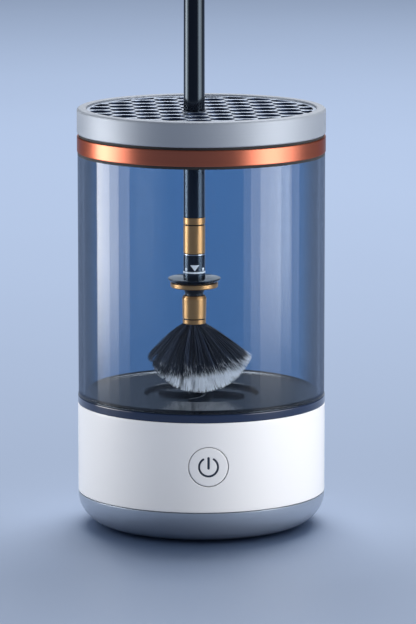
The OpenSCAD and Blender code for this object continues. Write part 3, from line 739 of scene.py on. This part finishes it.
def make_button():
    """The cap follows the body's curve, has a rounded edge, and the sign is engraved in it."""
    z = sum(heights("power_button")) / 2
    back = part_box("power_button")[1].y / MM
    cap_r, edge, depth = BORE_D / 2 - 0.32, 0.4, 0.4
    flange_r, flange_y, stem_r = radius("power_button"), -53.6, 2.6
    lip = 0.14                       # the sign widens by this towards the surface

    def loop(r, at):
        return [at(r * math.cos(TAU * k / BUTTON_STEPS), z + r * math.sin(TAU * k / BUTTON_STEPS))
                for k in range(BUTTON_STEPS)]

    def front(d):
        return lambda x, height: on_wall(x, height, BODY_R, -1, d)

    signs = [stroke(line, half + lip) for line, half in power_strokes(z)]
    face_r = cap_r - edge
    lattice = [(0.75 * (i + j % 2 / 2), 0.65 * j) for i in range(-12, 13) for j in range(-13, 14)]
    spots = [(x, z + y) for x, y in lattice if math.hypot(x, y) < face_r - 0.4]
    clear = [s for s in spots if not any(inside(s, sign) for sign in signs)]
    flat, faces = fill([(x, h) for x, h in loop(face_r, lambda x, h: (x, h))], signs, clear)
    parts = [([on_wall(x, h, BODY_R, -1) for x, h in flat], faces)]
    loops = []
    for k in range(7):
        a = math.pi / 2 * k / 6
        loops.append(loop(face_r + edge * math.sin(a), front(edge * (1 - math.cos(a)))))
    loops.append(loop(cap_r, front(edge + 0.2)))
    for r, y in ((cap_r, flange_y), (flange_r - 0.2, flange_y), (flange_r, flange_y + 0.2),
                 (flange_r, flange_y + 1), (flange_r - 0.2, flange_y + 1.2),
                 (stem_r, flange_y + 1.2), (stem_r, back - 0.3), (stem_r - 0.3, back), (0, back)):
        loops.append(loop(r, lambda x, h, y=y: (x, y, h)))
    parts.append(bridge(loops))
    inlay = []
    for line, half in power_strokes(z):
        walls = [[on_wall(*p, BODY_R, -1, d) for p in stroke(line, half + grow)]
                 for grow, d in ((lip, 0), (0.06, 0.03), (0.01, 0.1), (0, 0.16), (0, depth))]
        parts.append(bridge(walls))
        flat, faces = fill(stroke(line, half))
        parts.append(([on_wall(*p, BODY_R, -1, depth) for p in flat], faces))
        top, bottom = 0.2, depth - 0.02      # of the paint that fills the sign
        outline = stroke(line, half - 0.01)
        flat, faces = fill(outline)
        for d in (top, bottom):
            inlay.append(([on_wall(*p, BODY_R, -1, d) for p in flat], faces))
        inlay.append(bridge([[on_wall(*p, BODY_R, -1, d) for p in outline] for d in (top, bottom)]))
    piece("power_button", *join(*parts))
    piece("power_symbol", *join(*inlay))


# ---------- tank ----------

GLASS_R = radius("tank_glass")
GLASS_IN = GLASS_R - 2.8             # the wall is 2.8 mm thick
NECK_R = BODY_R - 1.2                # the band and its gasket are let into the glass


def make_tank():
    """The clear wall, the floor with the pulsator's cup, the foot ring and the band."""
    z0, z1 = heights("tank_glass")
    band0, band1 = heights("copper_band")
    shoulder = band0 - 1.2
    lathe("tank_glass", [
        (GLASS_IN, z0), (GLASS_R, z0, 0.25), (GLASS_R, shoulder), (NECK_R, shoulder),
        (NECK_R, z1, 0.4), (GLASS_IN, z1, 0.4),
    ])
    cup, cup_floor = 26.5, 58.6
    lathe("tank_floor", [
        (0, cup_floor - 1.8), (cup + 1.6, cup_floor - 1.8, 0.6), (cup + 2.1, z0 - 2, 1),
        (GLASS_IN - 2, z0 - 2), (GLASS_IN - 2, z0 - 3.7), (GLASS_IN, z0 - 3.7),
        (GLASS_IN, z0 + 1.2), (GLASS_IN - 0.5, z0 + 0.45, 0.6), (GLASS_IN - 1.9, z0, 1.2),
        (cup, z0, 0.9), (cup, cup_floor, 1.2), (0, cup_floor),
    ])
    foot_z, _ = heights("tank_foot_ring")
    lathe("tank_foot_ring", [
        (GLASS_IN, foot_z), (BODY_R - 0.2, foot_z, 0.2), (BODY_R - 0.2, z0, 0.2), (GLASS_IN, z0),
    ])
    lathe("band_gasket", [
        (NECK_R, shoulder), (GLASS_R, shoulder), (GLASS_R, band0), (NECK_R, band0),
    ])
    lathe("copper_band", [
        (NECK_R, band0), (BODY_R, band0, 0.45), (BODY_R, band1, 0.45), (NECK_R, band1),
    ])


# ---------- lid ----------

GRID_R = radius("lid_grid")
HOLE_R, LIP = 5.6, 0.35              # of the grid's holes
PITCH = 12.6
CELL_LIMIT = GRID_R - 1.5            # the holes end here
CELL_STEPS = 72
LEAST_CELL = 2.8                     # a hole whose middle is further beyond the limit is left out


def make_lid():
    """The rim with its spigot, the seal under its edge and the O-ring in the spigot's groove."""
    seal0, z0 = heights("lid_seal")
    spigot0, z1 = heights("lid_rim")
    grid0, grid1 = heights("lid_grid")
    inner = GRID_R + 0.05
    ledge = inner - 1.4
    spigot = GLASS_IN - 0.4
    groove, groove0, groove1 = spigot - 1.25, 183, 185
    lathe("lid_rim", [
        (ledge, spigot0, 0.3), (spigot, spigot0, 0.5), (spigot, groove0), (groove, groove0),
        (groove, groove1), (spigot, groove1), (spigot, z0), (BODY_R, z0, 0.7), (BODY_R, z1, 1.4),
        (inner, z1, 0.7), (inner, grid0), (ledge, grid0, 0.2),
    ], steps=8)
    lathe("lid_seal", [
        (spigot + 0.05, seal0), (BODY_R - 0.9, seal0), (BODY_R - 0.9, z0), (spigot + 0.05, z0),
    ])
    o_z, o_r = sum(heights("lid_oring")) / 2, 0.75
    o_middle = GLASS_IN - 0.1 - o_r
    ring = [(o_middle + o_r * math.cos(TAU * k / 16), o_z + o_r * math.sin(TAU * k / 16))
            for k in range(16)]
    piece("lid_oring", *revolve(ring))
    make_grid(grid0, grid1)


def cells():
    """Centres of the grid holes: columns along Y, every other one shifted by half a pitch."""
    column = PITCH * math.sqrt(3) / 2
    found = []
    for i in range(-6, 6):
        for j in range(-5, 5):
            spot = Vector(((i + 2 / 3) * column, (j + i % 2 / 2) * PITCH))
            if spot.length < CELL_LIMIT + LEAST_CELL:
                found.append(spot)
    return found


def cell_loop(spot, r, limit):
    """Outline of one hole: a circle cut off on the limit circle, seen from a point inside both."""
    reach = spot.length
    origin = spot if reach + r < limit else spot * ((reach - r + limit) / 2 / reach)
    loop = []
    for k in range(CELL_STEPS):
        d = Vector((math.cos(TAU * k / CELL_STEPS), math.sin(TAU * k / CELL_STEPS)))
        hits = []
        for middle, size in ((spot, r), (Vector((0, 0)), limit)):
            b = d.dot(origin - middle)
            hits.append(-b + math.sqrt(b * b - (origin - middle).length_squared + size * size))
        loop.append(tuple(origin + d * min(hits)))
    return loop


def make_grid(z0, z1):
    """Perforated plate: every hole has a quarter-round lip, and holes at the rim are cut off."""
    circle = [(GRID_R * math.cos(TAU * k / LARGE), GRID_R * math.sin(TAU * k / LARGE))
              for k in range(LARGE)]
    parts = []
    tops, bottoms = [], []
    for spot in cells():
        walls = [[(x, y, z0) for x, y in cell_loop(spot, HOLE_R, CELL_LIMIT)]]
        walls.append([(x, y, z1 - LIP - 0.15) for x, y, _ in walls[0]])
        for k in range(7):
            a = math.pi / 2 * k / 6
            grow, z = LIP * (1 - math.cos(a)), z1 - LIP * (1 - math.sin(a))
            walls.append([(x, y, z) for x, y in
                          cell_loop(spot, HOLE_R + grow, CELL_LIMIT + 0.75 * grow)])
        parts.append(bridge(walls))
        bottoms.append([(x, y) for x, y, _ in walls[0]])
        tops.append([(x, y) for x, y, _ in walls[-1]])
    for z, holes in ((z0, bottoms), (z1, tops)):
        flat, faces = fill(circle, holes)
        parts.append(([(x, y, z) for x, y in flat], faces))
    parts.append(bridge([[(x, y, z) for x, y in circle] for z in (z0, z1)]))
    piece("lid_grid", *join(*parts))


# ---------- brush ----------

def make_handle():
    """The rod, bored for the pin and domed at the top, and the collar at its lower end."""
    collar0, rod_end = heights("handle_collar")
    _, top = heights("handle_rod")
    low_r, high_r, core = 5, 4.8, 3.9
    pin_r, pin_top = 1.5, 145
    dome = top - high_r
    section = rounded([
        (pin_r, collar0), (core, collar0), (core, rod_end), (low_r - 0.4, rod_end),
        (low_r, rod_end, 0.3), (high_r, dome), (pin_r, dome),
    ])
    section = [p for p in section if p.y < dome]
    section += [Vector((high_r * math.cos(a), dome + high_r * math.sin(a)))
                for a in (math.pi / 2 * k / 16 for k in range(16))]
    section += [Vector((0, top)), Vector((0, pin_top)), Vector((pin_r, pin_top))]
    piece("handle_rod", *revolve(section, BRUSH, SMALL))
    r, groove, groove0, groove1 = 5.05, 4.3, 145.4, 145.95
    lathe("handle_collar", [
        (core, collar0), (r, collar0, 0.4), (r, groove0, 0.12), (groove, groove0, 0.05),
        (groove, groove1, 0.05), (r, groove1, 0.12), (r, rod_end, 0.35), (core, rod_end),
    ], BRUSH, SMALL)


SLEEVE_R = 5.1
MARK_PROUD, MARK_DEPTH = 0.03, 0.1   # of the marks, over and under the sleeve's surface


def strip(xs, lower, upper):
    """A mark on the front of the sleeve, between two heights that are functions of x."""
    outer, inner = SLEEVE_R + MARK_PROUD, SLEEVE_R - MARK_DEPTH

    def place(x, z, size):
        a = math.asin(max(-1.0, min(1.0, x / SLEEVE_R)))
        return (BRUSH[0] + size * math.sin(a), BRUSH[1] - size * math.cos(a), z)

    loops = [[place(x, lower(x), outer), place(x, upper(x), outer),
              place(x, upper(x), inner), place(x, lower(x), inner)] for x in xs]
    points, faces = bridge(loops)
    last = len(points) - 4
    return points, faces + [[0, 1, 2, 3], [last, last + 1, last + 2, last + 3]]


def spaced(low, high, count):
    return [low + (high - low) * k / count for k in range(count + 1)]


def make_sleeve():
    """The sleeve, its level marks (a line, a triangle and a tick on each side) and the washer."""
    z0, z1 = heights("mark_sleeve")
    core = 3.8
    lathe("mark_sleeve", [(core, z0), (SLEEVE_R, z0), (SLEEVE_R, z1, 0.3), (core, z1)],
          BRUSH, SMALL)
    line0, line1 = 123.2, 124
    foot, triangle1, tick1 = 124.4, 127.2, 125.8
    triangle_w, tick_x, tick_w = 2.1, 3.9, 0.4         # half widths, and the ticks' distance
    line = [SLEEVE_R * math.sin(a) for a in spaced(-math.pi / 2, math.pi / 2, 40)]
    parts = [
        strip(line, lambda x: line0, lambda x: line1),
        strip(spaced(-triangle_w, triangle_w, 12),
              lambda x: foot + (triangle1 - foot) * abs(x) / triangle_w, lambda x: triangle1),
    ]
    for middle in (-tick_x, tick_x):
        parts.append(strip(spaced(middle - tick_w, middle + tick_w, 3),
                           lambda x: foot, lambda x: tick1))
    piece("level_mark", *join(*parts))
    w0, w1 = heights("thrust_washer")
    bore, edge = 1.6, 5.05
    lathe("thrust_washer", [(bore, w0), (edge, w0, 0.2), (edge, w1, 0.2), (bore, w1)],
          BRUSH, SMALL)


def make_head():
    """The splash disc and its ring, the core they sit on, and the ferrule."""
    disc0, disc1 = heights("splash_disc")
    disc = radius("splash_disc")
    lathe("splash_disc", [
        (4.6, disc0), (disc - 1.7, disc0, 0.6), (disc, disc1 - 1, 0.35), (disc, disc1 - 0.5, 0.3),
        (6.6, disc1, 2), (4.6, disc1),
    ], BRUSH, SMALL, steps=7)
    ring0, ring1 = heights("disc_ring")
    lathe("disc_ring", [
        (7, ring0), (11, ring0, 0.5), (11, ring1, 0.3), (7, ring1),
    ], BRUSH, SMALL)
    neck0, neck1 = heights("head_core")
    lathe("head_core", [
        (2.8, neck0), (4.2, neck0), (4.2, 113.6, 1), (4.8, 115, 1), (5.4, ring0, 0.4), (7, ring0),
        (7, disc0), (4.6, disc0), (4.6, disc1), (3.8, disc1), (3.8, neck1), (2.6, neck1),
        (2.6, 119), (2.8, 119),
    ], BRUSH, SMALL)
    f0, f1 = heights("ferrule")
    groove = f0 + 2
    lathe("ferrule", [
        (4.6, f0, 0.15), (5.35, f0, 0.25), (5.38, groove, 0.1), (4.85, groove + 0.02, 0.05),
        (4.85, groove + 0.5, 0.05), (5.42, groove + 0.52, 0.1), (5.65, 111.2, 1.1),
        (4.75, f1, 0.6), (4.2, f1), (4.2, 106.4), (4.6, 106.4),
    ], BRUSH, SMALL, steps=7)


STRANDS, CLUMPS = 4400, 170
STRAND_SIDES = 3
STRAND_R = (0.13, 0.19)
STRAND_SHARES = (0, 0.12, 0.3, 0.5, 0.7, 0.85, 0.93, 1)      # where a strand has points
MOUTH_R = 4.25                       # the strands leave the ferrule within this
END_RISE = 17.5                      # height of the fan's rounded end
DROOP = 0.8                          # the wet tips hang lower than the solid that stands for them
SWEEP = Vector((2.4, 0, 0))          # and the water's turn carries them to one side


def make_bristles():
    """Single fibres that fan out from the ferrule to a rounded end, drawn together in clumps."""
    rng = random.Random(11)
    tip_z = heights("bristles")[0] - DROOP
    fan_r = radius("bristles")
    mouth_z = heights("ferrule")[0]
    dome_r = (fan_r ** 2 + END_RISE ** 2) / (2 * END_RISE)
    dome_z = tip_z + dome_r
    widest = math.asin(fan_r / dome_r)

    def direction():
        polar = math.acos(1 - rng.random() * (1 - math.cos(widest)))
        return polar, rng.uniform(0, TAU)

    def flat(polar, turn):
        return Vector((polar * math.cos(turn), polar * math.sin(turn)))

    clumps = [(flat(*direction()), rng.random()) for _ in range(CLUMPS)]
    points, faces, tones, alongs = [], [], [], []
    for _ in range(STRANDS):
        spot = flat(*direction())
        clump, clump_tone = min(clumps, key=lambda c: (c[0] - spot).length_squared)
        spot = spot.lerp(clump, rng.uniform(0.1, 0.5))
        polar, turn = spot.length, math.atan2(spot.y, spot.x)
        out = Vector((math.cos(turn), math.sin(turn), 0))
        up = Vector((0, 0, 1))
        length = dome_r * rng.uniform(0.95, 1.0)
        tip = out * length * math.sin(polar) + up * (dome_z - length * math.cos(polar))
        root_r = MOUTH_R * (polar / widest) ** 0.8 * rng.uniform(0.85, 1)
        mouth = out * root_r + up * (mouth_z + 0.3)
        bend = mouth + (tip - mouth) * 0.3 + up * (1.6 * polar / widest)
        sway = Vector((rng.gauss(0, 1), rng.gauss(0, 1), rng.gauss(0, 1))) * 0.35
        spine = [(mouth + up * 1.5, 0)]
        for t in STRAND_SHARES:
            here = mouth * (1 - t) ** 2 + bend * 2 * t * (1 - t) + tip * t * t
            spine.append((here + sway * 4 * t * (1 - t) * t + SWEEP * t * t, t))
        tone = min(1, max(0, 0.5 * clump_tone + rng.gauss(0.1, 0.25))) ** 2
        thick = rng.uniform(*STRAND_R)
        twist = rng.uniform(0, TAU)
        first = len(points)
        # The white tips are shorter round the edge of the fan, and on its left.
        outer = min(1, max(0, (polar / widest - 0.42) / 0.4))
        stretch = 1.06 - 0.16 * outer + 0.04 * math.cos(turn)
        for i, (here, t) in enumerate(spine):
            ahead = spine[min(i + 1, len(spine) - 1)][0] - spine[max(i - 1, 0)][0]
            side = ahead.cross(out if abs(ahead.normalized().dot(out)) < 0.95 else up).normalized()
            other = ahead.normalized().cross(side)
            size = thick * (1 - 0.65 * t ** 4)
            for k in range(STRAND_SIDES):
                a = twist + TAU * k / STRAND_SIDES
                spoke = side * math.cos(a) + other * math.sin(a)
                points.append(here + spoke * size + Vector((BRUSH[0], BRUSH[1], 0)))
                tones.append(tone)
                alongs.append(t * stretch)
        for i in range(len(spine) - 1):
            low = first + i * STRAND_SIDES
            for k in range(STRAND_SIDES):
                m = (k + 1) % STRAND_SIDES
                faces.append([low + k, low + m, low + STRAND_SIDES + m, low + STRAND_SIDES + k])
        faces.append([first + len(spine) * STRAND_SIDES - 1 - k for k in range(STRAND_SIDES)])
    mesh = bpy.data.meshes.new("bristles_v")
    mesh.from_pydata(placed(points), [], faces)
    for name, values in (("tone", tones), ("along", alongs)):
        mesh.attributes.new(name, "FLOAT", "POINT").data.foreach_set("value", values)
    mesh.shade_smooth()
    stand_in("bristles", mesh)


make_pan()
make_housing()
make_deck()
make_button()
make_tank()
make_lid()
make_handle()
make_sleeve()
make_head()
make_bristles()


# ---------- stage, light and camera ----------

FLOOR_R = 6


def add_stage():
    """A plain pale floor that reaches past the picture's edges."""
    points = [(FLOOR_R * math.cos(TAU * k / 64), FLOOR_R * math.sin(TAU * k / 64), 0)
              for k in range(64)]
    mesh = bpy.data.meshes.new("floor")
    mesh.from_pydata(points, [], [list(range(64))])
    look = Look("floor")
    colour = look.drift(look.noise(2.5, 3), (0.43, 0.53, 0.72), 0.015)
    mesh.materials.append(look.made({"Base Color": colour, "Roughness": 0.5}))
    floor = add_object("floor", mesh)
    return floor


def add_light(name, azimuth, distance, height, size, radiance, tilt=0, spread=180,
              colour=(1, 1, 1), seen=True, spare=(), only=(), fade=None):
    """A softbox turned towards the object's axis. Azimuth 0 is the camera's side and grows to the
    right as the camera sees it; height is its middle's; tilt turns it down. It leaves the objects
    in spare dark, since the close softboxes would draw hard pools of light on the floor, or lights
    those in only. fade is the heights over its lower edge between which it comes up to strength."""
    a = math.radians(azimuth + CAMERA_AZIMUTH)
    data = bpy.data.lights.new(name, "AREA")
    data.shape = "RECTANGLE"
    data.size, data.size_y = size
    data.energy = radiance * math.pi * size[0] * size[1]
    data.spread = math.radians(spread)
    data.color = colour
    lamp = add_object(name, data)
    lamp.location = (distance * math.sin(a), -distance * math.cos(a), height)
    lamp.rotation_euler = (math.radians(90 - tilt), 0, a)
    lamp.visible_camera = False
    lamp.visible_transmission = False
    lamp.visible_glossy = seen
    if spare or only:
        receivers = bpy.data.collections.new(name + "_receivers")
        for obj in spare or only:
            receivers.objects.link(obj)
        for member in receivers.collection_objects:
            member.light_linking.link_state = "EXCLUDE" if spare else "INCLUDE"
        lamp.light_linking.receiver_collection = receivers
    if fade:
        lit = Nodes(data)
        place = lit.add("NewGeometry", "Parametric")
        upward = lit.add("SeparateXYZ", "Y", {"Vector": place})
        low, high = (edge / size[1] for edge in fade)
        lit.put(lit.nodes["Emission"],
                {"Strength": lit.ramp(upward, low, high, curve="SMOOTHSTEP")})


WARM = (1.0, 0.985, 0.955)
FADE = (-0.016, 0.092)               # the close softboxes fade out towards their lower edge
SIDE_GAP = 0.004                     # between the softboxes of one side, so that none overlap


def add_side(name, boxes, distance, height, tall, radiance, spare):
    """Softboxes close to one side of the object, in steps, so that the light they reflect in it
    has soft edges. Each has its azimuth, its width and its share of the radiance."""
    for k, (azimuth, width, share) in enumerate(boxes):
        add_light("%s%d" % (name, k), azimuth, distance + SIDE_GAP * k, height, (width, tall),
                  radiance * share, colour=WARM, spare=spare, fade=FADE)


CAMERA_AZIMUTH = -3.2
CAMERA_DISTANCE = 2.0                # from the object's axis, along the floor
CAMERA_HEIGHT = 0.4371 - DATUM * MM
CAMERA_PITCH = 9.475                 # downwards
CAMERA_YAW = -0.088                  # off the axis
CAMERA_LENS, CAMERA_SENSOR = 251.7, 36


def add_camera():
    """The photograph's view: from a little above, far away, so that verticals stay upright."""
    a = math.radians(CAMERA_AZIMUTH)
    data = bpy.data.cameras.new("camera")
    data.lens = CAMERA_LENS
    data.sensor_width = CAMERA_SENSOR
    data.clip_end = 50
    camera = add_object("camera", data)
    camera.location = (CAMERA_DISTANCE * math.sin(a), -CAMERA_DISTANCE * math.cos(a), CAMERA_HEIGHT)
    camera.rotation_euler = (
        math.radians(90 - CAMERA_PITCH), 0, math.radians(CAMERA_AZIMUTH + CAMERA_YAW)
    )
    bpy.context.scene.camera = camera


def add_world():
    world = bpy.data.worlds.new("world")
    bpy.context.scene.world = world
    sky = Nodes(world)
    sky.put(sky.nodes["Background"], {"Color": (0.1, 0.125, 0.165), "Strength": 1.0})


bpy.context.scene.view_settings.view_transform = "Standard"
add_camera()
table = [add_stage()]
add_world()
tank_bottom = [bpy.data.objects["tank_floor_v"], frame["nodes"]["pulsator"]]
add_side("softbox_right", ((67, 0.42, 0.23), (65, 0.29, 0.38), (63, 0.14, 0.5)),
         distance=0.36, height=0.2, tall=0.4, radiance=4.8, spare=table + tank_bottom)
add_side("softbox_left", ((-86, 0.27, 0.25), (-92, 0.19, 0.4), (-97, 0.11, 0.35)),
         distance=0.356, height=0.15, tall=0.3, radiance=8.2, spare=table + tank_bottom)
add_light("softbox_top", 172, 1.6, 2.4, (2.4, 1.8), 3.4, tilt=75, spread=130)
add_light("softbox_back", 178, 2.2, 0.75, (1.3, 1.1), 0.8, spare=table + tank_bottom)
add_light("fill_front", 25, 1.2, 0.5, (0.8, 0.8), 2.6, tilt=15, seen=False, spare=table)
add_light("fill_brush", 18, 0.9, 0.16, (0.5, 0.4), 17.0, seen=False,
          only=[bpy.data.objects["bristles_v"]])
